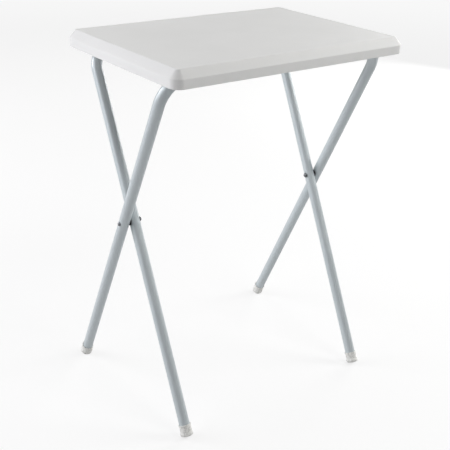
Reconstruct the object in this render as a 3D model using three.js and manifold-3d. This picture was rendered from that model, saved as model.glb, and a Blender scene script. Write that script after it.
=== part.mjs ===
// Folding snack table: a moulded plastic top on two crossed inverted-U tube frames.
// Millimetres, +Z up, X along the long side, origin on the floor at the middle of the footprint.
// The outer (wide) frame's bar turns in saddles under the front (-Y) edge and its legs reach the back.
// The inner (narrow) frame's bar rests in open-sided clips under the back edge and its legs reach the front.
import * as THREE from 'three';
import Module from 'manifold-3d';

// ---- overall ----
const HEIGHT = 660;            // floor to table surface
const GAP = 0.3;               // clearance between pieces that touch

// ---- top ----
const TOP_HALF_X = 236.7;
const TOP_Y_FRONT = -176.3;
const TOP_Y_BACK = 161.2;
const EDGE_DEPTH = 27.5;       // surface to the skirt's lower edge
const CHAMFER_IN = 10.7;       // chamfer's run, in plan
const CHAMFER_DOWN = 12.5;     // chamfer's drop
const CORNER_R = 17;           // plan radius at the skirt
const PANEL = 2.5;             // wall of the moulding
const RIB_T = 2;               // rib thickness
const RIB_LOW = 650.5;         // rib's lower edge
const BOSS_R = 5;
const BOSS_LOW = 650;          // boss's lower face
const BOSS_HOLE_TOP = 656.6;
const GROOVE_W = 1.6;          // shadow line where the flat meets the chamfer
const GROOVE_D = 0.7;

// ---- tube frames ----
const TUBE_R = 9.5;            // 19 mm tube
const TUBE_WALL = 1;
const OUTER_X = 223.8;         // leg centre lines
const INNER_X = 203.2;
const FOOT_Y = 168.6;          // where each leg's axis leaves its foot cap
const FOOT_Z = 3.2;
const OUTER_SLOPE = 0.4757;    // run in Y per unit of rise
const INNER_SLOPE = 0.4801;
const OUTER_BAR_Z = HEIGHT - PANEL - GAP - TUBE_R;
const INNER_BAR_Z = 629;
const OUTER_BEND_R = 59.2;
const INNER_BEND_R = 38.6;
const BEND_STEPS = 14;
const ROUND = 28;              // facets round a tube

// ---- foot caps ----
const CAP_R = 11.4;
const CAP_LENGTH = 21;
const CAP_FLOOR = 4;
const CAP_RIM_R = 3;

// ---- pivots ----
const RIVET_R = 2.5;
const RIVET_HOLE_R = 2.6;
const RIVET_HEAD_R = 4;
const RIVET_HEAD_H = 2.2;
const SPACER_R = 7;
const WASHER_R = 4.6;
const WASHER_T = 1;

// ---- saddles, clips and their screws ----
const SADDLE_X = 120;
const SADDLE_W = 18;
const SADDLE_IN_R = TUBE_R + GAP;
const SADDLE_OUT_R = 12.6;
const SADDLE_REACH = 23;
const SADDLE_SCREW_Y = 17.5;
const CLIP_X = 120;
const CLIP_W = 16;
const CLIP_IN_R = TUBE_R + 0.35;
const CLIP_OUT_R = 12.85;
const CLIP_REACH = 21;
const CLIP_SCREW_Y = 15;
const FLANGE_TOP = BOSS_LOW - GAP;
const FLANGE_T = 3;
const SCREW_R = 1.9;
const SCREW_HOLE_R = 2.2;
const SCREW_HEAD_R = 4;
const SCREW_HEAD_H = 2.5;

const wasm = await Module();
wasm.setup();

const V3 = (x, y, z) => new THREE.Vector3(x, y, z);
const EX = V3(1, 0, 0), EY = V3(0, 1, 0), EZ = V3(0, 0, 1);

// frame of reference with its columns and its origin
function place(x, y, z, at = V3(0, 0, 0)) {
  return new THREE.Matrix4().makeBasis(x, y, z).setPosition(at);
}
const IDENTITY = new THREE.Matrix4();

// closed solid from a geometry: shared corners are joined and the faces turned outward
function solid(geometry, matrix = IDENTITY) {
  const g = geometry.index ? geometry.toNonIndexed() : geometry;
  const pos = g.getAttribute('position');
  const seen = new Map(), points = [], ids = [];
  for (let i = 0; i < pos.count; i++) {
    const p = V3(pos.getX(i), pos.getY(i), pos.getZ(i));
    const key = [p.x, p.y, p.z].map((v) => Math.round(v * 2e3)).join();
    if (!seen.has(key)) {
      seen.set(key, points.length);
      points.push(p.applyMatrix4(matrix));
    }
    ids.push(seen.get(key));
  }
  const tris = [];
  let volume = 0;
  for (let i = 0; i < ids.length; i += 3) {
    const [a, b, c] = [ids[i], ids[i + 1], ids[i + 2]];
    if (a === b || b === c || c === a) continue;
    tris.push([a, b, c]);
    volume += points[a].dot(V3(0, 0, 0).crossVectors(points[b], points[c]));
  }
  if (volume < 0) tris.forEach((t) => t.reverse());
  return new wasm.Manifold(new wasm.Mesh({
    numProp: 3,
    vertProperties: new Float32Array(points.flatMap((p) => [p.x, p.y, p.z])),
    triVerts: new Uint32Array(tris.flat()),
  }));
}

const box = (x0, y0, z0, x1, y1, z1) => solid(
  new THREE.BoxGeometry(x1 - x0, y1 - y0, z1 - z0),
  new THREE.Matrix4().makeTranslation((x0 + x1) / 2, (y0 + y1) / 2, (z0 + z1) / 2));

// cylinder of radius r between a and b
function rod(r, a, b, segments) {
  const axis = b.clone().sub(a), length = axis.length();
  axis.normalize();
  const side = Math.abs(axis.x) > 0.9 ? EY.clone() : EX.clone();
  const third = V3(0, 0, 0).crossVectors(side, axis);
  return solid(new THREE.CylinderGeometry(r, r, length, segments), place(side, axis, third, a.clone().lerp(b, 0.5)));
}

// rounded rectangle, n facets to a corner
function roundedRect(hx, hy, r, n = 7) {
  const pts = [];
  [[1, 1, 0], [-1, 1, 1], [-1, -1, 2], [1, -1, 3]].forEach(([sx, sy, q]) => {
    for (let i = 0; i <= n; i++) {
      const t = (q + i / n) * Math.PI / 2;
      pts.push(new THREE.Vector2(sx * (hx - r) + r * Math.cos(t), sy * (hy - r) + r * Math.sin(t)));
    }
  });
  return new THREE.Shape(pts);
}

// profile in the YZ plane, carried along X
function alongX(points, width, at) {
  return solid(new THREE.ExtrudeGeometry(new THREE.Shape(points.map(([y, z]) => new THREE.Vector2(y, z))),
    { depth: width, bevelEnabled: false }), place(EY, EZ, EX, at.clone().add(V3(-width / 2, 0, 0))));
}

const arc = (r, from, to, n) => Array.from({ length: n + 1 }, (_, i) => {
  const t = (from + (to - from) * i / n) * Math.PI / 180;
  return [r * Math.cos(t), r * Math.sin(t)];
});

const lathe = (profile, segments, matrix) => solid(
  new THREE.LatheGeometry(profile.map(([r, h]) => new THREE.Vector2(r, h)), segments), matrix);

// ---- tube frames ----
class Spine extends THREE.Curve {
  constructor(points, tangents) { super(); this.points = points; this.tangents = tangents; }
  at(list, u) { return list[Math.round(u * (list.length - 1))].clone(); }
  getPoint(u) { return this.at(this.points, u); }
  getPointAt(u) { return this.at(this.points, u); }
  getTangent(u) { return this.at(this.tangents, u); }
  getTangentAt(u) { return this.at(this.tangents, u); }
  getSpacedPoints() { return this.points.map((p) => p.clone()); }
}

function leg(sign, slope) {
  const up = V3(0, -sign * slope, 1).normalize();
  return { up, foot: V3(0, sign * FOOT_Y, FOOT_Z), side: V3(0, 0, 0).crossVectors(EX, up) };
}

function bentTube(frame, halfX, barZ, bendR, radius, extra) {
  const top = (barZ - FOOT_Z) / frame.up.z;
  const start = CAP_FLOOR + GAP - extra;
  const flat = [[-halfX, start, 0, 1]];
  for (let i = 0; i <= BEND_STEPS; i++) {
    const t = Math.PI - (Math.PI / 2) * i / BEND_STEPS;
    flat.push([-halfX + bendR + bendR * Math.cos(t), top - bendR + bendR * Math.sin(t), Math.sin(t), -Math.cos(t)]);
  }
  const half = flat.slice().reverse().map(([x, s, dx, ds]) => [-x, s, dx, -ds]);
  const all = flat.concat(half);
  const points = all.map(([x, s]) => frame.foot.clone().addScaledVector(EX, x).addScaledVector(frame.up, s));
  const tangents = all.map(([, , dx, ds]) => V3(0, 0, 0).addScaledVector(EX, dx).addScaledVector(frame.up, ds).normalize());
  const circle = Array.from({ length: ROUND }, (_, i) => new THREE.Vector2(
    radius * Math.cos(2 * Math.PI * i / ROUND), radius * Math.sin(2 * Math.PI * i / ROUND)));
  return solid(new THREE.ExtrudeGeometry(new THREE.Shape(circle),
    { steps: points.length - 1, extrudePath: new Spine(points, tangents), bevelEnabled: false }));
}

const outer = leg(1, OUTER_SLOPE);    // feet at the back
const inner = leg(-1, INNER_SLOPE);   // feet at the front
const PIVOT_RISE = 2 * FOOT_Y / (OUTER_SLOPE + INNER_SLOPE);
const PIVOT = V3(0, FOOT_Y - OUTER_SLOPE * PIVOT_RISE, FOOT_Z + PIVOT_RISE);
const OUTER_BAR = V3(0, FOOT_Y - OUTER_SLOPE * (OUTER_BAR_Z - FOOT_Z), OUTER_BAR_Z);
const INNER_BAR = V3(0, -FOOT_Y + INNER_SLOPE * (INNER_BAR_Z - FOOT_Z), INNER_BAR_Z);
const across = (p, x) => V3(x, p.y, p.z);

function tubeFrame(frame, halfX, barZ, bendR) {
  return bentTube(frame, halfX, barZ, bendR, TUBE_R, 0)
    .subtract(bentTube(frame, halfX, barZ, bendR, TUBE_R - TUBE_WALL, 5))
    .subtract(rod(RIVET_HOLE_R, across(PIVOT, -260), across(PIVOT, 260), 32));
}

// ---- foot cap: a cup over the tube's end, its low rim flat on the floor ----
function footCap(frame, x) {
  const rim = arc(CAP_RIM_R, -90, 0, 5).map(([a, b]) => [CAP_R - CAP_RIM_R + a, CAP_RIM_R + b]);
  const bore = TUBE_R + GAP;
  const profile = [[0, 0], ...rim, [CAP_R, CAP_LENGTH - 0.8], [CAP_R - 0.7, CAP_LENGTH], [bore, CAP_LENGTH], [bore, CAP_FLOOR], [0, CAP_FLOOR]];
  const at = frame.foot.clone().add(V3(x, 0, 0));
  return lathe(profile, ROUND, place(EX, frame.up, frame.side, at))
    .subtract(box(x - 30, at.y - 40, -20, x + 30, at.y + 40, 0));
}

// ---- pivot hardware, built outward from the middle on either side ----
const facing = (side, x) => place(EY, V3(side, 0, 0), V3(0, 0, -side), across(PIVOT, side * x));

function rivet(side) {
  const tail = INNER_X - TUBE_R - 2 * GAP - WASHER_T;
  const head = OUTER_X + TUBE_R + 0.1;
  const dome = (base, out) => arc(1, 0, 90, 4).map(([a, b]) => [RIVET_HEAD_R * a, base + out * (0.5 + (RIVET_HEAD_H - 0.5) * b)]);
  const outerDome = dome(head, 1);
  const innerDome = dome(tail, -1).reverse();
  return lathe([...innerDome.map(([r, h]) => [Math.max(r, 0), h]), [RIVET_HEAD_R, tail], [RIVET_R, tail], [RIVET_R, head], [RIVET_HEAD_R, head],
    ...outerDome.map(([r, h]) => [r < 1e-6 ? 0 : r, h])].map(([r, h]) => [r < 1e-6 ? 0 : r, h]), 24, facing(side, 0));
}

const ring = (rOut, rIn, from, to, side) => lathe([[rIn, from], [rOut, from], [rOut, to], [rIn, to], [rIn, from]], 24, facing(side, 0));
const spacer = (side) => ring(SPACER_R, RIVET_HOLE_R + 0.1, INNER_X + TUBE_R + GAP, OUTER_X - TUBE_R - GAP, side);
const washer = (side) => ring(WASHER_R, RIVET_HOLE_R + 0.1, INNER_X - TUBE_R - GAP - WASHER_T, INNER_X - TUBE_R - GAP, side);

// ---- hinge saddle: a strap under the outer frame's bar ----
function screwHoles(x, y, reach) {
  return [-1, 1].map((s) => rod(SCREW_HOLE_R, V3(x, y + s * reach, FLANGE_TOP - 10), V3(x, y + s * reach, FLANGE_TOP + 2), 20))
    .reduce((a, b) => a.add(b));
}

function saddle(side) {
  const up = FLANGE_TOP - OUTER_BAR_Z, low = up - FLANGE_T;
  const a = Math.asin(-low / SADDLE_OUT_R) * 180 / Math.PI;
  const pts = [[-SADDLE_REACH, up], [-SADDLE_REACH, low], ...arc(SADDLE_OUT_R, 180 + a, 360 - a, 14),
    [SADDLE_REACH, low], [SADDLE_REACH, up], [SADDLE_IN_R, up], ...arc(SADDLE_IN_R, 0, -180, 14), [-SADDLE_IN_R, up]];
  return alongX(pts, SADDLE_W, across(OUTER_BAR, side * SADDLE_X)).subtract(screwHoles(side * SADDLE_X, OUTER_BAR.y, SADDLE_SCREW_Y));
}

// ---- bar clip: a hook open towards the front, hung on a web ----
function clip(side) {
  const up = FLANGE_TOP - INNER_BAR_Z, low = up - FLANGE_T;
  const webBack = 10, webFront = -8, upperArm = -10, lowerArm = -7;
  const a = Math.acos(webBack / CLIP_OUT_R) * 180 / Math.PI;
  const pts = [[-CLIP_REACH, up], [CLIP_REACH, up], [CLIP_REACH, low], [webBack, low], ...arc(CLIP_OUT_R, a, -90, 12),
    [lowerArm, -CLIP_OUT_R], [lowerArm, -CLIP_IN_R], ...arc(CLIP_IN_R, -90, 90, 14),
    [upperArm, CLIP_IN_R], [upperArm, CLIP_OUT_R], [webFront, CLIP_OUT_R], [webFront, low], [-CLIP_REACH, low]];
  return alongX(pts, CLIP_W, across(INNER_BAR, side * CLIP_X)).subtract(screwHoles(side * CLIP_X, INNER_BAR.y, CLIP_SCREW_Y));
}

// ---- screw: domed head with a cross recess, shank up into its boss ----
function screw(x, y) {
  const headTop = FLANGE_TOP - FLANGE_T - GAP;
  const low = headTop - SCREW_HEAD_H;
  const profile = [[0, low], [SCREW_HEAD_R * 0.6, low + 0.25], [SCREW_HEAD_R * 0.9, low + 0.9], [SCREW_HEAD_R, low + 1.6], [SCREW_HEAD_R, headTop],
    [SCREW_R, headTop], [SCREW_R, BOSS_HOLE_TOP - 2], [0.6, BOSS_HOLE_TOP - 0.4], [0, BOSS_HOLE_TOP - 0.4]];
  return lathe(profile, 20, place(EX, EZ, V3(0, -1, 0), V3(x, y, 0)))
    .subtract(box(x - 2.2, y - 0.5, low - 1, x + 2.2, y + 0.5, low + 1.3).add(box(x - 0.5, y - 2.2, low - 1, x + 0.5, y + 2.2, low + 1.3)));
}

// ---- moulded top ----
const TOP_Y = (TOP_Y_FRONT + TOP_Y_BACK) / 2;
const TOP_HALF_Y = (TOP_Y_BACK - TOP_Y_FRONT) / 2;

// block with a chamfered top: "inset" is the plan inset of the flat, "run" and "drop" the chamfer
function chamferBlock(inset, cornerR, run, drop, topZ, depth) {
  const shape = roundedRect(TOP_HALF_X - inset, TOP_HALF_Y - inset, cornerR);
  return solid(new THREE.ExtrudeGeometry(shape, { depth, bevelEnabled: true, bevelSize: run, bevelThickness: drop, bevelSegments: 1 }),
    new THREE.Matrix4().makeTranslation(0, TOP_Y, topZ - drop - depth));
}

function plate(inset, cornerR, z0, z1) {
  return solid(new THREE.ExtrudeGeometry(roundedRect(TOP_HALF_X - inset, TOP_HALF_Y - inset, cornerR), { depth: z1 - z0, bevelEnabled: false }),
    new THREE.Matrix4().makeTranslation(0, TOP_Y, z0));
}

function tableTop() {
  const skirt = EDGE_DEPTH - CHAMFER_DOWN;
  const slant = Math.hypot(CHAMFER_IN, CHAMFER_DOWN);
  const nOut = CHAMFER_DOWN / slant, nUp = CHAMFER_IN / slant;
  const flatInset = CHAMFER_IN + PANEL * (1 - nUp) / nOut;      // inner flat's edge
  const innerDrop = CHAMFER_DOWN - PANEL + PANEL * (1 - nOut) / nUp;
  const innerRun = flatInset - PANEL;
  const low = HEIGHT - EDGE_DEPTH;
  const below = box(-400, -400, low - 60, 400, 400, low);
  const shell = chamferBlock(CHAMFER_IN, CORNER_R - CHAMFER_IN, CHAMFER_IN, CHAMFER_DOWN, HEIGHT, skirt).subtract(below);
  const cavity = chamferBlock(flatInset, CORNER_R - flatInset, innerRun, innerDrop, HEIGHT - PANEL, skirt + 8);
  const panelLow = HEIGHT - PANEL;
  const into = panelLow + 0.6;

  // ribs and bosses, inside the shell
  let under = null;
  const put = (s) => { under = under ? under.add(s) : s; };
  const ribFront = -112;
  for (const y of [ribFront, -57, -2, 53, 100]) put(box(-TOP_HALF_X + 1.5, y - RIB_T / 2, RIB_LOW, TOP_HALF_X - 1.5, y + RIB_T / 2, into));
  for (const x of [-200, -150, -100, -50, 0, 50, 100, 150, 200]) {
    put(box(x - RIB_T / 2, ribFront - RIB_T / 2, RIB_LOW, x + RIB_T / 2, TOP_Y_BACK - 1.5, into));
    put(box(x - RIB_T / 2, TOP_Y_FRONT + 1.5, RIB_LOW, x + RIB_T / 2, OUTER_BAR.y - 26, into));
  }
  const bosses = [];
  for (const side of [-1, 1]) {
    for (const s of [-1, 1]) {
      bosses.push([side * SADDLE_X, OUTER_BAR.y + s * SADDLE_SCREW_Y], [side * CLIP_X, INNER_BAR.y + s * CLIP_SCREW_Y]);
    }
  }
  for (const [x, y] of bosses) put(rod(BOSS_R, V3(x, y, BOSS_LOW), V3(x, y, into), 20));
  let holes = null;
  for (const [x, y] of bosses) {
    const h = rod(SCREW_HOLE_R, V3(x, y, BOSS_LOW - 5), V3(x, y, BOSS_HOLE_TOP), 20);
    holes = holes ? holes.add(h) : h;
  }
  const groove = plate(CHAMFER_IN + 0.4, CORNER_R - CHAMFER_IN - 0.4, HEIGHT - GROOVE_D, HEIGHT + 2)
    .subtract(plate(CHAMFER_IN + 0.4 + GROOVE_W, CORNER_R - CHAMFER_IN - 0.4 - GROOVE_W, HEIGHT - GROOVE_D - 1, HEIGHT + 3));
  return shell.subtract(cavity).add(under.intersect(shell)).subtract(holes).subtract(groove);
}

// ---- materials ----
const paint = (color, roughness, metalness = 0) => new THREE.MeshStandardMaterial({ color: new THREE.Color(...color), roughness, metalness });
const MATERIALS = {
  top: paint([0.83, 0.83, 0.84], 0.5),
  frame: paint([0.66, 0.73, 0.76], 0.35, 0.2),
  cap: paint([0.85, 0.85, 0.84], 0.6),
  fitting: paint([0.72, 0.73, 0.74], 0.55),
  rivet: paint([0.5, 0.51, 0.53], 0.3, 1),
  screw: paint([0.62, 0.63, 0.65], 0.35, 1),
  nylon: paint([0.2, 0.21, 0.22], 0.6),
};

const group = new THREE.Group();
group.name = 'folding_table';

function add(name, manifold, material) {
  const m = manifold.getMesh();
  const g = new THREE.BufferGeometry();
  const verts = new Float32Array(m.triVerts.length * 3);
  for (let i = 0; i < m.triVerts.length; i++) {
    for (let k = 0; k < 3; k++) verts[3 * i + k] = m.vertProperties[m.triVerts[i] * m.numProp + k];
  }
  g.setAttribute('position', new THREE.BufferAttribute(verts, 3));
  g.computeVertexNormals();
  const mesh = new THREE.Mesh(g, material);
  mesh.name = name;
  group.add(mesh);
}

add('table_top', tableTop(), MATERIALS.top);
add('outer_frame', tubeFrame(outer, OUTER_X, OUTER_BAR_Z, OUTER_BEND_R), MATERIALS.frame);
add('inner_frame', tubeFrame(inner, INNER_X, INNER_BAR_Z, INNER_BEND_R), MATERIALS.frame);
for (const [side, word] of [[-1, 'left'], [1, 'right']]) {
  add(`foot_cap_outer_${word}`, footCap(outer, side * OUTER_X), MATERIALS.cap);
  add(`foot_cap_inner_${word}`, footCap(inner, side * INNER_X), MATERIALS.cap);
  add(`pivot_rivet_${word}`, rivet(side), MATERIALS.rivet);
  add(`pivot_spacer_${word}`, spacer(side), MATERIALS.nylon);
  add(`rivet_washer_${word}`, washer(side), MATERIALS.screw);
  add(`hinge_saddle_${word}`, saddle(side), MATERIALS.fitting);
  add(`bar_clip_${word}`, clip(side), MATERIALS.fitting);
  for (const [s, end] of [[-1, 'front'], [1, 'back']]) {
    add(`saddle_screw_${word}_${end}`, screw(side * SADDLE_X, OUTER_BAR.y + s * SADDLE_SCREW_Y), MATERIALS.screw);
    add(`clip_screw_${word}_${end}`, screw(side * CLIP_X, INNER_BAR.y + s * CLIP_SCREW_Y), MATERIALS.screw);
  }
}

export default group;
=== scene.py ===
"""Folding snack table: the looks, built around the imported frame. Shapes are written in millimetres and scaled to metres."""
import math
import bpy
import bmesh
from mathutils import Matrix, Vector

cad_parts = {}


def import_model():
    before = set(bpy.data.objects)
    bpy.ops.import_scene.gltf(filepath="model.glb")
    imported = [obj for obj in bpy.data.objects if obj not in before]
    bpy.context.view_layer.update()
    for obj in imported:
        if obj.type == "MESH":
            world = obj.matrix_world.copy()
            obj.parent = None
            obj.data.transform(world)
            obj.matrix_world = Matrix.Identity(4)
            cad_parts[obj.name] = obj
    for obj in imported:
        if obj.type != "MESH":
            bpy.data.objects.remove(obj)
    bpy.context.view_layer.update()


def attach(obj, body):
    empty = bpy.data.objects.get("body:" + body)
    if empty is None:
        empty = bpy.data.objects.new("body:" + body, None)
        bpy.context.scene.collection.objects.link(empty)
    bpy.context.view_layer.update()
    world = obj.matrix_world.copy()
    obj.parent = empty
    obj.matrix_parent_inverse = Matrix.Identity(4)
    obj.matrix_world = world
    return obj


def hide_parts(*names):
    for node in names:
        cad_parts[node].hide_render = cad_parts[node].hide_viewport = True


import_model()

MM = 0.001
scene = bpy.context.scene

# ---------------------------------------------------------------- sizes, as in part.mjs
HEIGHT = 660.0
TOP_HALF_X, TOP_Y_FRONT, TOP_Y_BACK = 236.7, -176.3, 161.2
TOP_Y = (TOP_Y_FRONT + TOP_Y_BACK) / 2
TOP_HALF_Y = (TOP_Y_BACK - TOP_Y_FRONT) / 2
EDGE_DEPTH, CHAMFER_IN, CHAMFER_DOWN, CORNER_R = 27.5, 10.7, 12.5, 17.0
PANEL, RIB_LOW, BOSS_R, BOSS_LOW = 2.5, 650.5, 5.0, 650.0
TUBE_R, TUBE_WALL = 9.5, 1.0
OUTER_X, INNER_X = 223.8, 203.2
FOOT_Y, FOOT_Z = 168.6, 3.2
OUTER_SLOPE, INNER_SLOPE = 0.4757, 0.4801
OUTER_BAR_Z, INNER_BAR_Z = 647.7, 629.0
OUTER_BEND_R, INNER_BEND_R = 59.2, 38.6
CAP_FLOOR, CAP_LENGTH, CAP_R = 4.0, 21.0, 11.4
SADDLE_X, SADDLE_W, SADDLE_REACH, SADDLE_SCREW_Y, SADDLE_OUT_R = 120.0, 18.0, 23.0, 17.5, 12.6
CLIP_X, CLIP_W, CLIP_REACH, CLIP_SCREW_Y, CLIP_OUT_R = 120.0, 16.0, 21.0, 15.0, 12.85
FLANGE_TOP, FLANGE_T = 649.7, 3.0

RISE = 2 * FOOT_Y / (OUTER_SLOPE + INNER_SLOPE)
PIVOT = Vector((0, FOOT_Y - OUTER_SLOPE * RISE, FOOT_Z + RISE))
OUTER_BAR = Vector((0, FOOT_Y - OUTER_SLOPE * (OUTER_BAR_Z - FOOT_Z), OUTER_BAR_Z))
INNER_BAR = Vector((0, -FOOT_Y + INNER_SLOPE * (INNER_BAR_Z - FOOT_Z), INNER_BAR_Z))

# ---------------------------------------------------------------- camera, at the photograph's angle
CAM = Vector((-858.90, -1117.98, 951.35)) * MM
YAW, PITCH, ROLL, FOCAL_PX = 0.651823, 0.435581, 0.032552, 817.831


def make_camera():
    fwd = Vector((math.sin(YAW) * math.cos(PITCH), math.cos(YAW) * math.cos(PITCH), -math.sin(PITCH)))
    right = fwd.cross(Vector((0, 0, 1))).normalized()
    up = right.cross(fwd)
    rr = right * math.cos(ROLL) + up * math.sin(ROLL)
    uu = -right * math.sin(ROLL) + up * math.cos(ROLL)
    cam = bpy.data.cameras.new("camera")
    cam.sensor_fit, cam.sensor_width = "HORIZONTAL", 36.0
    cam.lens = FOCAL_PX / 450 * 36.0
    cam.clip_start, cam.clip_end = 0.05, 60
    ob = bpy.data.objects.new("camera", cam)
    scene.collection.objects.link(ob)
    ob.matrix_world = Matrix(((rr.x, uu.x, -fwd.x, CAM.x), (rr.y, uu.y, -fwd.y, CAM.y), (rr.z, uu.z, -fwd.z, CAM.z), (0, 0, 0, 1)))
    scene.camera = ob


make_camera()

# ---------------------------------------------------------------- mesh helpers


def new_object(name, verts, faces, angle=35.0):
    """Closed mesh from millimetre points; faces turned outward, smooth with sharp edges past the angle."""
    me = bpy.data.meshes.new(name)
    me.from_pydata([tuple(c * MM for c in v) for v in verts], [], faces)
    bm = bmesh.new()
    bm.from_mesh(me)
    bmesh.ops.remove_doubles(bm, verts=bm.verts, dist=1e-7)
    bmesh.ops.recalc_face_normals(bm, faces=bm.faces)
    bm.to_mesh(me)
    bm.free()
    smooth(me, angle)
    ob = bpy.data.objects.new(name, me)
    scene.collection.objects.link(ob)
    return ob


def smooth(me, angle):
    for p in me.polygons:
        p.use_smooth = True
    me.set_sharp_from_angle(angle=math.radians(angle))


def rings_to_faces(rings, n, closed_sections):
    """Quads between rings of n points each. closed_sections joins the last ring to the first."""
    faces = []
    count = len(rings)
    last = count if closed_sections else count - 1
    for i in range(last):
        a, b = rings[i], rings[(i + 1) % count]
        for j in range(n):
            k = (j + 1) % n
            faces.append((a + j, a + k, b + k, b + j))
    return faces


def fillet(points, default=0.4, steps=4):
    """Open polyline [(x, y, radius)] with its inner corners rounded."""
    out = [Vector(points[0][:2])]
    for i in range(1, len(points) - 1):
        p0, p1, p2 = (Vector(points[i + d][:2]) for d in (-1, 0, 1))
        r = points[i][2] if len(points[i]) > 2 else default
        a, b = p0 - p1, p2 - p1
        la, lb = a.length, b.length
        a, b = a.normalized(), b.normalized()
        ang = math.acos(max(-1.0, min(1.0, a.dot(b))))
        if r <= 0 or ang > math.pi - 0.02:
            out.append(p1)
            continue
        t = min(r / math.tan(ang / 2), 0.48 * la, 0.48 * lb)
        r = t * math.tan(ang / 2)
        s, e = p1 + a * t, p1 + b * t
        centre = p1 + (a + b).normalized() * (r / math.sin(ang / 2))
        v0, v1 = s - centre, e - centre
        turn = math.atan2(v0.x * v1.y - v0.y * v1.x, v0.dot(v1))
        for k in range(steps + 1):
            q = turn * k / steps
            out.append(centre + Vector((v0.x * math.cos(q) - v0.y * math.sin(q), v0.x * math.sin(q) + v0.y * math.cos(q))))
    out.append(Vector(points[-1][:2]))
    return [(p.x, p.y) for p in out]


def lathe(name, profile, to_world, n=64, angle=35.0):
    """Profile of (radius, height) revolved about the local axis. Ends on the axis make poles; a profile that closes on itself makes a ring."""
    verts, rings, faces = [], [], []
    closed = len(profile) > 2 and abs(profile[0][0] - profile[-1][0]) < 1e-6 and abs(profile[0][1] - profile[-1][1]) < 1e-6
    body = profile[:-1] if closed else profile
    pole0 = not closed and body[0][0] < 1e-6
    pole1 = not closed and body[-1][0] < 1e-6
    inner = body[(1 if pole0 else 0):(-1 if pole1 else None)]
    for r, h in inner:
        rings.append(len(verts))
        for j in range(n):
            t = 2 * math.pi * j / n
            verts.append(to_world(r * math.cos(t), r * math.sin(t), h))
    faces += rings_to_faces(rings, n, closed)
    if pole0:
        c = len(verts)
        verts.append(to_world(0, 0, body[0][1]))
        faces += [(c, rings[0] + (j + 1) % n, rings[0] + j) for j in range(n)]
    if pole1:
        c = len(verts)
        verts.append(to_world(0, 0, body[-1][1]))
        faces += [(c, rings[-1] + j, rings[-1] + (j + 1) % n) for j in range(n)]
    return new_object(name, verts, faces, angle)


def prism(name, outline, x0, x1, bevel=0.5, segments=3):
    """Closed outline of (y, z) carried from x0 to x1, with its long edges rounded."""
    n = len(outline)
    verts = [(x0, y, z) for y, z in outline] + [(x1, y, z) for y, z in outline]
    faces = [tuple(range(n)), tuple(range(n, 2 * n))] + [(j, (j + 1) % n, n + (j + 1) % n, n + j) for j in range(n)]
    ob = new_object(name, verts, faces)
    if bevel:
        bm = bmesh.new()
        bm.from_mesh(ob.data)
        edges = [e for e in bm.edges if len(e.link_faces) == 2 and e.calc_face_angle(0) > math.radians(40)]
        bmesh.ops.bevel(bm, geom=edges, offset=bevel * MM, segments=segments, profile=0.5, affect="EDGES", clamp_overlap=True)
        bm.to_mesh(ob.data)
        bm.free()
        smooth(ob.data, 35)
    return ob


def cutters(ob, others, operation):
    """Joins or cuts closed meshes into ob, one after another, and removes them."""
    for o in others:
        m = ob.modifiers.new("b", "BOOLEAN")
        m.operation, m.object, m.solver = operation, o, "MANIFOLD"
    bpy.context.view_layer.update()
    dg = bpy.context.evaluated_depsgraph_get()
    me = bpy.data.meshes.new_from_object(ob.evaluated_get(dg))
    ob.modifiers.clear()
    old = ob.data
    ob.data = me
    bpy.data.meshes.remove(old)
    for o in others:
        data = o.data
        bpy.data.objects.remove(o)
        bpy.data.meshes.remove(data)
    return ob


def flat_normals(ob):
    m = ob.modifiers.new("flat", "WEIGHTED_NORMAL")
    m.mode, m.weight, m.keep_sharp = "FACE_AREA", 80, True


# ---------------------------------------------------------------- materials


class Nodes:
    def __init__(self, name):
        self.m = bpy.data.materials.new(name)
        self.m.use_nodes = True
        self.t = self.m.node_tree
        self.shader = next(n for n in self.t.nodes if n.type == "BSDF_PRINCIPLED")
        self.coord = self.t.nodes.new("ShaderNodeTexCoord").outputs["Object"]

    def new(self, kind, inputs=None, **props):
        n = self.t.nodes.new("ShaderNode" + kind)
        for k, v in props.items():
            setattr(n, k, v)
        for k, v in (inputs or {}).items():
            if hasattr(v, "is_output"):
                self.t.links.new(v, n.inputs[k])
            else:
                n.inputs[k].default_value = v
        return n

    def noise(self, scale, detail=3.0, rough=0.55, stretch=None):
        vec = self.coord
        if stretch:
            vec = self.new("Mapping", {"Vector": vec, "Scale": stretch}).outputs["Vector"]
        return self.new("TexNoise", {"Vector": vec, "Scale": scale, "Detail": detail, "Roughness": rough}).outputs["Fac"]

    def ramp(self, fac, stops):
        n = self.new("ValToRGB", {"Fac": fac})
        r = n.color_ramp
        while len(r.elements) < len(stops):
            r.elements.new(0.5)
        for e, (pos, col) in zip(r.elements, stops):
            e.position = pos
            e.color = col if isinstance(col, tuple) and len(col) == 4 else (*(col if isinstance(col, tuple) else (col, col, col)), 1)
        return n.outputs["Color"]

    def mix(self, fac, a, b):
        n = self.t.nodes.new("ShaderNodeMix")
        n.data_type = "RGBA"
        for sock, v in ((n.inputs[0], fac), (n.inputs[6], a), (n.inputs[7], b)):
            if hasattr(v, "is_output"):
                self.t.links.new(v, sock)
            else:
                sock.default_value = v
        return n.outputs[2]

    def math(self, op, a, b, c=None):
        n = self.new("Math", {}, operation=op)
        for i, v in enumerate((a, b, c)):
            if v is None:
                continue
            if hasattr(v, "is_output"):
                self.t.links.new(v, n.inputs[i])
            else:
                n.inputs[i].default_value = v
        return n.outputs[0]

    def set(self, name, v):
        s = self.shader.inputs[name]
        if hasattr(v, "is_output"):
            self.t.links.new(v, s)
        else:
            s.default_value = v

    def bumps(self, layers):
        normal = None
        for height, strength, distance in layers:
            inputs = {"Height": height, "Strength": strength, "Distance": distance}
            if normal is not None:
                inputs["Normal"] = normal
            normal = self.new("Bump", inputs).outputs["Normal"]
        self.set("Normal", normal)


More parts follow.
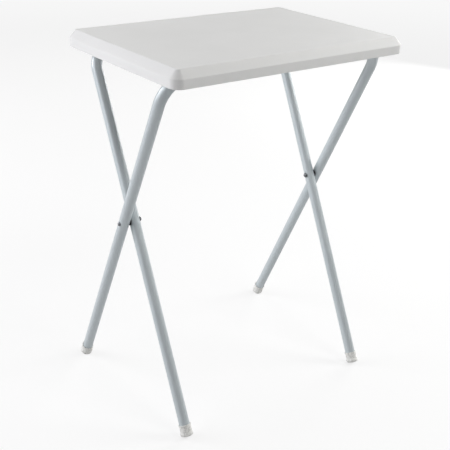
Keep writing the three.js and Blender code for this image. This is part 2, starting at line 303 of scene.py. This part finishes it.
def scratches(n, scale, stretch, width):
    """Sparse thin lines: where a stretched noise crosses its middle value."""
    v = n.noise(scale, 1.0, 0.4, stretch)
    d = n.math("ABSOLUTE", n.math("SUBTRACT", v, 0.5), 0.0)
    line = n.math("LESS_THAN", d, width)
    where = n.math("GREATER_THAN", n.noise(9.0, 2.0), 0.6)
    return n.math("MULTIPLY", line, where)


def top_material():
    n = Nodes("moulded_top")
    cloud = n.noise(6.0, 4.0)
    speck = n.noise(420.0, 2.0, 0.6)
    base = n.mix(n.ramp(cloud, [(0.35, 0.0), (0.68, 1.0)]), (0.765, 0.765, 0.758, 1), (0.797, 0.796, 0.791, 1))
    base = n.mix(n.math("MULTIPLY", n.math("GREATER_THAN", speck, 0.66), 0.25), base, (0.70, 0.70, 0.695, 1))
    sc1 = scratches(n, 5.0, (1.0, 9.0, 1.0), 0.0011)
    sc2 = scratches(n, 6.0, (8.0, 1.4, 1.0), 0.0010)
    sc = n.math("MAXIMUM", sc1, sc2)
    base = n.mix(n.math("MULTIPLY", sc, 0.22), base, (0.90, 0.90, 0.895, 1))
    n.set("Base Color", base)
    rub = n.noise(22.0, 5.0, 0.65)
    rough = n.math("ADD", n.math("MULTIPLY", rub, 0.16), 0.45)
    rough = n.math("SUBTRACT", rough, n.math("MULTIPLY", sc, 0.06))
    n.set("Roughness", rough)
    n.set("IOR", 1.49)
    n.set("Specular IOR Level", 0.36)
    grain = n.new("TexVoronoi", {"Vector": n.coord, "Scale": 900.0, "Smoothness": 0.7}, feature="SMOOTH_F1").outputs["Distance"]
    fine = n.noise(1500.0, 2.0, 0.6)
    sink = n.noise(11.0, 1.0, 0.4)
    n.bumps([(sink, 0.22, 0.0012), (grain, 0.30, 0.00012), (fine, 0.22, 0.00008), (sc, 0.25, 0.00004)])
    return n.m


def paint_material():
    n = Nodes("powder_coat")
    cloud = n.noise(14.0, 3.0)
    base = n.mix(n.ramp(cloud, [(0.35, 0.0), (0.7, 1.0)]), (0.575, 0.628, 0.654, 1), (0.616, 0.670, 0.693, 1))
    chip = n.math("GREATER_THAN", n.noise(95.0, 4.0, 0.6), 0.765)
    base = n.mix(n.math("MULTIPLY", chip, 0.55), base, (0.36, 0.375, 0.385, 1))
    rub = scratches(n, 30.0, (1.0, 1.0, 0.12), 0.004)
    base = n.mix(n.math("MULTIPLY", rub, 0.25), base, (0.72, 0.76, 0.78, 1))
    n.set("Base Color", base)
    n.set("Metallic", 0.12)
    rough = n.math("ADD", n.math("MULTIPLY", n.noise(40.0, 4.0, 0.6), 0.14), 0.27)
    n.set("Roughness", n.math("ADD", rough, n.math("MULTIPLY", chip, 0.2)))
    n.set("Coat Weight", 0.18)
    n.set("Coat Roughness", 0.16)
    peel = n.noise(520.0, 2.0, 0.5)
    draw = n.noise(120.0, 2.0, 0.5, (1.0, 1.0, 0.05))
    n.bumps([(peel, 0.35, 0.00022), (draw, 0.12, 0.00008), (chip, 0.4, 0.00005)])
    return n.m


def cap_material():
    n = Nodes("foot_cap")
    # Darker towards the bottom: noisy blotches that fade out 8.5 mm above the floor and are strongest where the cap
    # meets it.
    z = n.new("SeparateXYZ", {"Vector": n.coord}).outputs["Z"]
    low = n.math("SUBTRACT", 1.0, n.math("DIVIDE", z, 0.0085))
    low = n.math("MAXIMUM", low, 0.0)
    low_darkening = n.math("MULTIPLY", low, n.ramp(n.noise(260.0, 4.0, 0.65), [(0.38, 0.0), (0.66, 1.0)]))
    base = n.mix(n.noise(60.0, 3.0), (0.83, 0.83, 0.80, 1), (0.89, 0.89, 0.87, 1))
    mottle = n.ramp(n.noise(270.0, 3.0, 0.6), [(0.47, 0.0), (0.60, 1.0)])
    base = n.mix(n.math("MULTIPLY", mottle, 0.60), base, (0.55, 0.55, 0.525, 1))
    base = n.mix(n.math("MULTIPLY", low_darkening, 0.60), base, (0.30, 0.29, 0.27, 1))
    scuff = n.math("GREATER_THAN", n.noise(190.0, 4.0, 0.7, (1.0, 1.0, 0.5)), 0.67)
    base = n.mix(n.math("MULTIPLY", scuff, 0.25), base, (0.47, 0.46, 0.44, 1))
    n.set("Base Color", base)
    n.set("Roughness", n.math("ADD", n.math("MULTIPLY", n.noise(90.0, 4.0, 0.6), 0.22), 0.40))
    n.set("IOR", 1.47)
    n.bumps([(n.noise(700.0, 3.0, 0.6), 0.35, 0.00016), (mottle, 0.35, 0.00022), (scuff, 0.3, 0.00006), (n.noise(55.0, 2.0), 0.2, 0.0004)])
    return n.m


def fitting_material():
    n = Nodes("fitting_plastic")
    base = n.mix(n.noise(45.0, 4.0), (0.54, 0.55, 0.56, 1), (0.61, 0.62, 0.63, 1))
    rub = n.math("GREATER_THAN", n.noise(150.0, 4.0, 0.7), 0.68)
    base = n.mix(n.math("MULTIPLY", rub, 0.3), base, (0.44, 0.45, 0.46, 1))
    n.set("Base Color", base)
    n.set("Roughness", n.math("ADD", n.math("MULTIPLY", n.noise(80.0, 3.0, 0.6), 0.2), 0.36))
    n.bumps([(n.noise(800.0, 2.0, 0.6), 0.35, 0.00014), (n.noise(120.0, 2.0, 0.5), 0.18, 0.0002)])
    return n.m


def metal_material(name, low, high, rough, stretch):
    n = Nodes(name)
    base = n.mix(n.noise(160.0, 4.0, 0.6), (*low, 1), (*high, 1))
    tarnish = n.ramp(n.noise(320.0, 5.0, 0.7), [(0.5, 0.0), (0.72, 1.0)])
    base = n.mix(n.math("MULTIPLY", tarnish, 0.35), base, tuple(c * 0.55 for c in low) + (1,))
    n.set("Base Color", base)
    n.set("Metallic", 1.0)
    n.set("Roughness", n.math("ADD", n.math("MULTIPLY", n.noise(600.0, 3.0, 0.6, stretch), 0.22), rough))
    n.bumps([(n.noise(1300.0, 2.0, 0.6, stretch), 0.3, 0.00006), (n.noise(300.0, 2.0, 0.5), 0.25, 0.00012)])
    return n.m


def nylon_material():
    n = Nodes("spacer_nylon")
    n.set("Base Color", n.mix(n.noise(200.0, 3.0), (0.030, 0.031, 0.034, 1), (0.060, 0.061, 0.066, 1)))
    n.set("Roughness", n.math("ADD", n.math("MULTIPLY", n.noise(160.0, 3.0), 0.25), 0.38))
    n.bumps([(n.noise(900.0, 2.0), 0.4, 0.0001)])
    return n.m


MAT = {
    "top": top_material(), "paint": paint_material(), "cap": cap_material(), "fitting": fitting_material(),
    "rivet": metal_material("rivet_steel", (0.17, 0.18, 0.19), (0.30, 0.31, 0.33), 0.16, None),
    "dark": metal_material("washer_dark", (0.13, 0.14, 0.15), (0.22, 0.23, 0.24), 0.30, None),
    "screw": metal_material("screw_zinc", (0.52, 0.53, 0.55), (0.70, 0.71, 0.72), 0.24, None),
    "nylon": nylon_material(),
}

# ---------------------------------------------------------------- hand each piece to its body


def finish(ob, mat, body, slot, *nodes):
    ob.data.materials.clear()
    ob.data.materials.append(MAT[mat])
    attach(ob, body)
    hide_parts(*nodes)
    return ob


TOP, OUT, INN = "top_assembly", "outer_frame_assembly", "inner_frame_assembly"

# ---------------------------------------------------------------- moulded top


def rect_ring(inset, z, corner_n=14, long_n=20, short_n=14):
    """Rounded rectangle at a plan inset, always with the same number of points."""
    hx, hy = TOP_HALF_X - inset, TOP_HALF_Y - inset
    r = max(CORNER_R - inset, 1.2)
    pts = []
    for q, (sx, sy) in enumerate(((1, 1), (-1, 1), (-1, -1), (1, -1))):
        cx, cy = sx * (hx - r), sy * (hy - r)
        for i in range(corner_n + 1):
            t = (q + i / corner_n) * math.pi / 2
            pts.append((cx + r * math.cos(t), cy + r * math.sin(t)))
        nx, ny = ((-1, 1), (-1, -1), (1, -1), (1, 1))[q]
        t = (q + 1) * math.pi / 2
        a = pts[-1]
        b = (nx * (hx - r) + r * math.cos(t), ny * (hy - r) + r * math.sin(t))
        m = long_n if q % 2 == 0 else short_n
        for i in range(1, m):
            pts.append((a[0] + (b[0] - a[0]) * i / m, a[1] + (b[1] - a[1]) * i / m))
    return [(x, y + TOP_Y, z) for x, y in pts]


def top_shell():
    slant = math.hypot(CHAMFER_IN, CHAMFER_DOWN)
    n_out, n_up = CHAMFER_DOWN / slant, CHAMFER_IN / slant
    flat_in = CHAMFER_IN + PANEL * (1 - n_up) / n_out
    inner_drop = CHAMFER_DOWN - PANEL + PANEL * (1 - n_out) / n_up
    ceil = HEIGHT - PANEL
    low = HEIGHT - EDGE_DEPTH
    profile = fillet([
        (14.5, HEIGHT),
        (12.75, HEIGHT, 0.4), (12.4, HEIGHT - 0.7, 0.35), (11.4, HEIGHT - 0.7, 0.35), (11.15, HEIGHT - 0.02, 0.4),
        (CHAMFER_IN, HEIGHT - 0.02, 1.0),
        (0, HEIGHT - CHAMFER_DOWN, 2.6),
        (0, low, 0.9), (2.2, low, 0.7),
        (PANEL, ceil - inner_drop, 2.0), (flat_in, ceil, 1.5), (14.5, ceil)], steps=5)
    verts, rings = [], []
    for inset, z in profile:
        ring = rect_ring(inset, z)
        rings.append(len(verts))
        verts += ring
    n = len(verts) // len(rings)
    faces = rings_to_faces(rings, n, False)
    faces.append(tuple(range(rings[0], rings[0] + n)))
    faces.append(tuple(range(rings[-1], rings[-1] + n)))
    return new_object("table_top_shell", verts, faces, 28)


def wall_inset(z):
    """Middle of the slanted wall at height z."""
    outer = max(0.0, (z - (HEIGHT - CHAMFER_DOWN)) * CHAMFER_IN / CHAMFER_DOWN)
    inner = 2.5 + max(0.0, (z - 646.6) * 9.34 / 10.9)
    return (outer + min(inner, outer + 3.3)) / 2


def rib(axis, at, end0, end1, low=RIB_LOW, wall0=True, wall1=True):
    """Drafted rib hanging from the panel. End values are wall faces, followed down the slanted wall, or plain stops."""
    high = HEIGHT - PANEL + 0.7
    half = {low: 0.85, high: 1.25}
    verts = []
    for z in (low, high):
        w = wall_inset(z)
        a = end0 + (w if wall0 else -(0.35 if z == high else 0.0))
        b = end1 - (w if wall1 else -(0.35 if z == high else 0.0))
        h = half[z]
        if axis == "x":
            verts += [(a, at - h, z), (b, at - h, z), (b, at + h, z), (a, at + h, z)]
        else:
            verts += [(at - h, a, z), (at + h, a, z), (at + h, b, z), (at - h, b, z)]
    faces = [(0, 1, 2, 3), (4, 5, 6, 7), (0, 1, 5, 4), (1, 2, 6, 5), (2, 3, 7, 6), (3, 0, 4, 7)]
    return new_object("rib", verts, faces)


def vertical(x, y):
    return lambda a, b, h: (x + a, y + b, h)


bosses = [(s * SADDLE_X, OUTER_BAR.y + e * SADDLE_SCREW_Y) for s in (-1, 1) for e in (-1, 1)]
bosses += [(s * CLIP_X, INNER_BAR.y + e * CLIP_SCREW_Y) for s in (-1, 1) for e in (-1, 1)]


def table_top():
    shell = top_shell()
    adds = []
    front = -112.0
    for y in (front, -57, -2, 53, 100):
        adds.append(rib("x", y, -TOP_HALF_X, TOP_HALF_X))
    for x in (-200, -150, -100, -50, 0, 50, 100, 150, 200):
        adds.append(rib("y", x, front - 0.6, TOP_Y_BACK, wall0=False))
        adds.append(rib("y", x, TOP_Y_FRONT, OUTER_BAR.y - 26, wall1=False))
    high = HEIGHT - PANEL + 0.6
    for i, (x, y) in enumerate(bosses):
        p = fillet([(0, BOSS_LOW), (BOSS_R - 0.15, BOSS_LOW, 0.35), (BOSS_R, high - 2.0, 0.6), (BOSS_R + 1.1, high, 0), (0, high)], steps=3)
        adds.append(lathe("boss", p, vertical(x, y), 32))
    shell = cutters(shell, adds, "UNION")
    holes = [lathe("hole", [(0, BOSS_LOW - 2), (2.2, BOSS_LOW - 2), (2.2, 656.6), (0, 656.6)], vertical(x, y), 24) for x, y in bosses]
    shell = cutters(shell, holes, "DIFFERENCE")
    # moulding marks: ejector pads under the panel, in the pockets between the ribs
    pads = []
    for x in (-175, -75, 75, 175):
        for y in (-84, 26, 76):
            pads.append(lathe("pad", [(0, 656.9), (4.2, 656.9), (4.5, 657.2), (4.5, 658.1), (0, 658.1)], vertical(x, y), 28))
    shell = cutters(shell, pads, "UNION")
    smooth(shell.data, 28)
    flat_normals(shell)
    shell.name = shell.data.name = "table_top_moulding"
    return finish(shell, "top", TOP, "top_plastic", "table_top")


# ---------------------------------------------------------------- tube frames


class Leg:
    def __init__(self, sign, slope):
        self.up = Vector((0, -sign * slope, 1)).normalized()
        self.foot = Vector((0, sign * FOOT_Y, FOOT_Z))
        self.side = Vector((1, 0, 0)).cross(self.up)


outer, inner = Leg(1, OUTER_SLOPE), Leg(-1, INNER_SLOPE)


def tube(name, leg, half_x, bar_z, bend_r, mat_body, node):
    top = (bar_z - FOOT_Z) / leg.up.z
    start = CAP_FLOOR + 0.3
    pivot_s = (PIVOT - leg.foot).dot(leg.up)
    seg = 56

    def path(fine):
        stations = [start]
        if fine:
            s = start
            while s < pivot_s - 14:
                s += 12
                stations.append(min(s, pivot_s - 14))
            stations += [pivot_s + d for d in range(-13, 14)]
            s = pivot_s + 14
            while s < top - bend_r - 6:
                stations.append(s)
                s += 12
        half = [(-half_x, s, 0.0, 1.0) for s in stations]
        steps = 30 if fine else 14
        for i in range(steps + 1):
            t = math.pi - (math.pi / 2) * i / steps
            half.append((-half_x + bend_r + bend_r * math.cos(t), top - bend_r + bend_r * math.sin(t), math.sin(t), -math.cos(t)))
        if fine:
            x = -half_x + bend_r + 12
            while x < -4:
                half.append((x, top, 1.0, 0.0))
                x += 14
        return half + [(-x, s, dx, -ds) for x, s, dx, ds in reversed(half)]

    def rings(points, radius, fine):
        out = []
        for x, s, dx, ds in points:
            c = leg.foot + Vector((x, 0, 0)) + leg.up * s
            t = (Vector((1, 0, 0)) * dx + leg.up * ds).normalized()
            u = leg.side
            v = t.cross(u)
            ring = []
            for j in range(seg):
                a = 2 * math.pi * j / seg
                p = c + u * (radius * math.cos(a)) + v * (radius * math.sin(a))
                if fine and abs(s - pivot_s) < 12 and abs(dx) < 1e-6:
                    # the wall is dished where the rivet is set
                    r = math.hypot(s - pivot_s, (p - c).dot(u))
                    seat = 8.72
                    w = min(1.0, max(0.0, (r - 4.6) / 3.6))
                    w = w * w * (3 - 2 * w)
                    limit = seat * (1 - w) + 9.6 * w
                    d = p.x - c.x
                    if abs(d) > limit:
                        p.x = c.x + math.copysign(limit, d)
                ring.append(p)
            out.append(ring)
        return out

    outside = rings(path(True), TUBE_R, True)
    inside = rings(path(False), TUBE_R - TUBE_WALL, False)
    every = outside + inside[::-1]
    verts = [p for r in every for p in r]
    index = [i * seg for i in range(len(every))]
    ob = new_object(name, verts, rings_to_faces(index, seg, True), 40)
    return finish(ob, "paint", mat_body, "frame_paint", node)


# ---------------------------------------------------------------- foot caps


def foot_cap(name, leg, x, body, node):
    at = leg.foot + Vector((x, 0, 0))

    def world(a, b, h):
        return at + Vector((a, 0, 0)) + leg.side * b + leg.up * h

    bore = TUBE_R + 0.12
    low = [(0.0, 0.9), (6.4, 0.9, 0.5), (6.8, 0.0, 0.4), (CAP_R - 0.2, 0.0, 3.0), (CAP_R + 0.1, 4.6, 1.3), (CAP_R - 0.75, 7.2, 1.1)]
    mouth = [(CAP_R - 0.85, CAP_LENGTH - 3.0, 0.6), (CAP_R - 0.15, CAP_LENGTH - 2.3, 0.4), (CAP_R - 0.15, CAP_LENGTH, 0.7),
             (bore + 0.25, CAP_LENGTH, 0.3), (bore, CAP_LENGTH - 1.2, 0.3), (bore, CAP_FLOOR, 0.0), (0.0, CAP_FLOOR)]
    ob = lathe(name, fillet(low + mouth, steps=5), world, 72, 32)
    for v in ob.data.vertices:      # worn flat where it meets the floor
        if v.co.z < 0:
            v.co.z = 0
    # shallow grip flutes between the base bead and the mouth bead
    for v in ob.data.vertices:
        p = Vector(v.co) / MM - at
        h = p.dot(leg.up)
        a, b = p.x, p.dot(leg.side)
        r = math.hypot(a, b)
        if r > bore + 0.5 and 7.0 < h < CAP_LENGTH - 2.3:
            t = math.atan2(b, a)
            k = 1 - 0.022 * (0.5 + 0.5 * math.cos(t * 18)) * min(1.0, (h - 7.0) / 1.5, (CAP_LENGTH - 2.3 - h) / 0.8)
            d = leg.side * (b * (k - 1)) + Vector((a * (k - 1), 0, 0))
            v.co += d * MM
    return finish(ob, "cap", body, "cap_plastic", node)


# ---------------------------------------------------------------- pivot hardware


def on_pivot(side):
    return lambda a, b, h: (side * h, PIVOT.y + a, PIVOT.z + b)


def rivet(name, side, node):
    tail = INNER_X - TUBE_R - 0.3 - 1.0 - 0.05
    head = OUTER_X + 8.72
    p = fillet([
        (0.0, tail - 1.5), (1.3, tail - 1.5, 0.3), (1.7, tail - 2.0, 0.3), (3.1, tail - 2.0, 0.9), (3.5, tail, 0.25),
        (2.5, tail, 0.0), (2.5, head, 0.0), (4.05, head, 0.3), (3.95, head + 1.1, 0.7), (2.6, head + 2.35, 1.2), (0.9, head + 2.7, 0.8), (0.0, head + 2.7)], steps=5)
    ob = lathe(name, p, on_pivot(side), 56, 35)
    return finish(ob, "rivet", OUT, "rivet_steel", node)


def flat_ring(name, side, r_out, r_in, x0, x1, mat, slot, node):
    e = 0.22
    p = [(r_in, x0 + e), (r_in + e, x0), (r_out - e, x0), (r_out, x0 + e), (r_out, x1 - e), (r_out - e, x1), (r_in + e, x1), (r_in, x1 - e), (r_in, x0 + e)]
    ob = lathe(name, p, on_pivot(side), 56, 50)
    return finish(ob, mat, OUT, slot, node)


# ---------------------------------------------------------------- saddles, clips, screws


def arc(r, a0, a1, n):
    return [(r * math.cos(math.radians(a0 + (a1 - a0) * i / n)), r * math.sin(math.radians(a0 + (a1 - a0) * i / n))) for i in range(n + 1)]


def shifted(points, at):
    return [(at.y + y, at.z + z) for y, z in points]


def drill(ob, x, y, reach):
    holes = [lathe("hole", [(0, FLANGE_TOP - 8), (2.2, FLANGE_TOP - 8), (2.2, FLANGE_TOP + 2), (0, FLANGE_TOP + 2)], vertical(x, y + s * reach), 28) for s in (-1, 1)]
    cutters(ob, holes, "DIFFERENCE")
    smooth(ob.data, 35)
    flat_normals(ob)


def saddle(name, side, node):
    up, low = FLANGE_TOP - OUTER_BAR_Z, FLANGE_TOP - OUTER_BAR_Z - FLANGE_T
    a = math.degrees(math.asin(-low / SADDLE_OUT_R))
    pts = [(-SADDLE_REACH, up), (-SADDLE_REACH, low)] + arc(SADDLE_OUT_R, 180 + a, 360 - a, 32)
    pts += [(SADDLE_REACH, low), (SADDLE_REACH, up), (9.8, up)] + arc(9.8, 0, -180, 32) + [(-9.8, up)]
    x = side * SADDLE_X
    ob = prism(name, shifted(pts, OUTER_BAR), x - SADDLE_W / 2, x + SADDLE_W / 2, 0.55)
    ribs = []
    for dx in (-6.4, 6.4):      # stiffening webs beside the strap, under the flanges
        for s in (-1, 1):
            tri = [(s * 11.4, low + 0.4), (s * 13.4, low + 0.4), (s * 11.4, low - 4.2)]
            ribs.append(prism("web", shifted(tri, OUTER_BAR), x + dx - 0.8, x + dx + 0.8, 0))
    cutters(ob, ribs, "UNION")
    drill(ob, x, OUTER_BAR.y, SADDLE_SCREW_Y)
    return finish(ob, "fitting", TOP, "fitting_plastic", node)


def clip(name, side, node):
    up, low = FLANGE_TOP - INNER_BAR_Z, FLANGE_TOP - INNER_BAR_Z - FLANGE_T
    a = math.degrees(math.acos(10 / CLIP_OUT_R))
    pts = [(-CLIP_REACH, up), (CLIP_REACH, up), (CLIP_REACH, low), (10, low)] + arc(CLIP_OUT_R, a, -90, 28)
    pts += [(-7, -CLIP_OUT_R), (-7, -9.85)] + arc(9.85, -90, 90, 32) + [(-10, 9.85), (-10, CLIP_OUT_R), (-8, CLIP_OUT_R), (-8, low), (-CLIP_REACH, low)]
    x = side * CLIP_X
    ob = prism(name, shifted(pts, INNER_BAR), x - CLIP_W / 2, x + CLIP_W / 2, 0.5)
    drill(ob, x, INNER_BAR.y, CLIP_SCREW_Y)
    return finish(ob, "fitting", TOP, "fitting_plastic", node)


def screw(name, x, y, turn, node):
    top = FLANGE_TOP - FLANGE_T - 0.05
    low = top - 2.5
    p = [(0.0, low), (2.2, low + 0.1, 1.0), (3.6, low + 0.75, 1.0), (4.0, low + 1.7, 0.6), (4.0, top, 0.2), (1.9, top, 0.0)]
    h = top
    while h < 653.6:            # thread
        p += [(1.9, h + 0.35, 0.0), (1.55, h + 0.75, 0.0), (1.9, h + 1.15, 0.0)]
        h += 1.15
    p += [(1.5, 654.8, 0.2), (0.4, 656.2, 0.1), (0.0, 656.2)]
    ob = lathe(name, fillet(p, steps=4), vertical(x, y), 48, 35)
    bars = []
    for k in range(2):
        t = math.radians(turn + 90 * k)
        c, s = math.cos(t), math.sin(t)
        verts = []
        for z, w, l in ((low - 0.6, 0.52, 2.35), (low + 1.3, 0.34, 1.2)):
            for a, b in ((-l, -w), (l, -w), (l, w), (-l, w)):
                verts.append((x + a * c - b * s, y + a * s + b * c, z))
        bars.append(new_object("cross", verts, [(0, 1, 2, 3), (4, 5, 6, 7), (0, 1, 5, 4), (1, 2, 6, 5), (2, 3, 7, 6), (3, 0, 4, 7)]))
    cutters(ob, bars, "DIFFERENCE")
    smooth(ob.data, 35)
    return finish(ob, "screw", TOP, "screw_steel", node)


table_top()
tube("outer_frame_tube", outer, OUTER_X, OUTER_BAR_Z, OUTER_BEND_R, OUT, "outer_frame")
tube("inner_frame_tube", inner, INNER_X, INNER_BAR_Z, INNER_BEND_R, INN, "inner_frame")
turn = 11
for side, word in ((-1, "left"), (1, "right")):
    foot_cap(f"outer_cap_{word}", outer, side * OUTER_X, OUT, f"foot_cap_outer_{word}")
    foot_cap(f"inner_cap_{word}", inner, side * INNER_X, INN, f"foot_cap_inner_{word}")
    rivet(f"rivet_{word}", side, f"pivot_rivet_{word}")
    flat_ring(f"spacer_{word}", side, 7.0, 2.7, INNER_X + 9.5 + 0.12, OUTER_X - 9.5 - 0.12, "nylon", "spacer_nylon", f"pivot_spacer_{word}")
    flat_ring(f"washer_{word}", side, 4.6, 2.7, INNER_X - TUBE_R - 1.3, INNER_X - TUBE_R - 0.2, "dark", "screw_steel", f"rivet_washer_{word}")
    saddle(f"saddle_{word}", side, f"hinge_saddle_{word}")
    clip(f"clip_{word}", side, f"bar_clip_{word}")
    for s, end in ((-1, "front"), (1, "back")):
        screw(f"saddle_fixing_{word}_{end}", side * SADDLE_X, OUTER_BAR.y + s * SADDLE_SCREW_Y, turn, f"saddle_screw_{word}_{end}")
        screw(f"clip_fixing_{word}_{end}", side * CLIP_X, INNER_BAR.y + s * CLIP_SCREW_Y, turn + 31, f"clip_screw_{word}_{end}")
        turn += 37

# ---------------------------------------------------------------- floor and light


SKY = 0.32                      # soft band of light between the horizon and overhead
FLOOR_FILL = 0.168              # light the floor gives back to the object, besides what it reflects
BACKDROP = 0.84                 # brightness of the studio's paper and sweep
COOL, WARM = (0.985, 0.985, 1.012), (1.0, 0.998, 0.985)
LIGHTS = [
    ("key_left", (-2.6, 0.5, 1.1), (0, 0, 0.5), (1.6, 1.8), 22.4, COOL),
    ("left_back", (-1.8, 1.8, 1.3), (0, 0, 0.5), (1.4, 1.6), 42.4, COOL),
    ("top", (0.0, 0.4, 2.6), (0, 0, 0.5), (1.8, 1.8), 5.6, WARM),
    ("right_high", (2.0, -0.9, 1.75), (0, 0, 0.5), (1.0, 1.2), 32.0, WARM),
    ("front_high", (0.5, -1.7, 2.3), (0, 0, 0.5), (1.2, 1.0), 18.4, WARM),
    ("back_high", (0.4, 2.4, 1.7), (0, 0, 0.5), (1.6, 1.2), 6.8, WARM),
    ("right_back", (2.4, 0.9, 0.9), (0, 0, 0.5), (1.2, 1.4), 30.8, WARM),
]


def stage():
    """Pale paper floor. What the eye sees is bright and even, and what lights the object is its soft bounce."""
    me = bpy.data.meshes.new("floor")
    s = 20.0
    me.from_pydata([(-s, -s, 0), (s, -s, 0), (s, s, 0), (-s, s, 0)], [], [(0, 1, 2, 3)])
    ob = bpy.data.objects.new("floor", me)
    ob.location.z = -0.0004
    scene.collection.objects.link(ob)
    n = Nodes("floor_paper")
    out = next(x for x in n.t.nodes if x.type == "OUTPUT_MATERIAL")
    far = n.new("VectorMath", {0: n.coord}, operation="LENGTH").outputs["Value"]
    far = n.new("MapRange", {"Value": far, "From Min": 0.9, "From Max": 5.0, "To Min": BACKDROP - 0.13, "To Max": BACKDROP + 0.07}, interpolation_type="SMOOTHSTEP").outputs["Result"]
    n.set("Base Color", n.mix(n.noise(3.0, 2.0), (0.255, 0.255, 0.255, 1), (0.265, 0.265, 0.265, 1)))
    n.set("Roughness", 0.95)
    n.set("Specular IOR Level", 0.0)
    n.set("Emission Color", (1.0, 1.0, 1.0, 1.0))
    n.set("Emission Strength", far)
    bounce = n.new("BsdfPrincipled")
    bounce.inputs["Base Color"].default_value = (0.45, 0.45, 0.45, 1)
    bounce.inputs["Roughness"].default_value = 0.95
    bounce.inputs["Specular IOR Level"].default_value = 0.1
    bounce.inputs["Emission Color"].default_value = (1, 1, 1, 1)
    bounce.inputs["Emission Strength"].default_value = FLOOR_FILL
    seen = n.new("LightPath").outputs["Is Camera Ray"]
    both = n.t.nodes.new("ShaderNodeMixShader")
    n.t.links.new(seen, both.inputs[0])
    n.t.links.new(bounce.outputs[0], both.inputs[1])
    n.t.links.new(n.shader.outputs[0], both.inputs[2])
    n.t.links.new(both.outputs[0], out.inputs["Surface"])
    me.materials.append(n.m)


def area(name, at, to, size, power, color=(1, 1, 1)):
    li = bpy.data.lights.new(name, "AREA")
    li.shape, li.size, li.size_y, li.energy, li.color = "RECTANGLE", size[0], size[1], power, color
    ob = bpy.data.objects.new(name, li)
    scene.collection.objects.link(ob)
    ob.location = at
    ob.rotation_euler = (Vector(to) - Vector(at)).to_track_quat("-Z", "Y").to_euler()
    ob.visible_camera = False


def studio_world():
    world = bpy.data.worlds.new("studio")
    world.use_nodes = True
    t = world.node_tree
    bg = next(n for n in t.nodes if n.type == "BACKGROUND")
    xyz = t.nodes.new("ShaderNodeSeparateXYZ")
    t.links.new(t.nodes.new("ShaderNodeTexCoord").outputs["Generated"], xyz.inputs[0])
    ramp = t.nodes.new("ShaderNodeValToRGB")
    t.links.new(xyz.outputs["Z"], ramp.inputs["Fac"])
    e = ramp.color_ramp.elements
    while len(e) < 4:
        e.new(0.5)
    for k, pos, v in zip(e, (0.12, 0.20, 0.45, 0.55), (0.0, SKY, SKY, 0.0)):
        k.position, k.color = pos, (v, v, v, 1)
    mix = t.nodes.new("ShaderNodeMix")
    mix.data_type = "RGBA"
    t.links.new(t.nodes.new("ShaderNodeLightPath").outputs["Is Camera Ray"], mix.inputs[0])
    t.links.new(ramp.outputs["Color"], mix.inputs[6])
    sweep = t.nodes.new("ShaderNodeValToRGB")
    t.links.new(xyz.outputs["Z"], sweep.inputs["Fac"])
    k = sweep.color_ramp.elements
    k[0].position, k[1].position = 0.0, 0.30
    k[0].color, k[1].color = (BACKDROP + 0.02, BACKDROP + 0.02, BACKDROP + 0.02, 1), (0.50, 0.51, 0.52, 1)
    t.links.new(sweep.outputs["Color"], mix.inputs[7])
    t.links.new(mix.outputs[2], bg.inputs["Color"])
    bg.inputs["Strength"].default_value = 1.0
    scene.world = world


stage()
studio_world()
scene.view_settings.view_transform = "Standard"
for light in LIGHTS:
    area(*light)
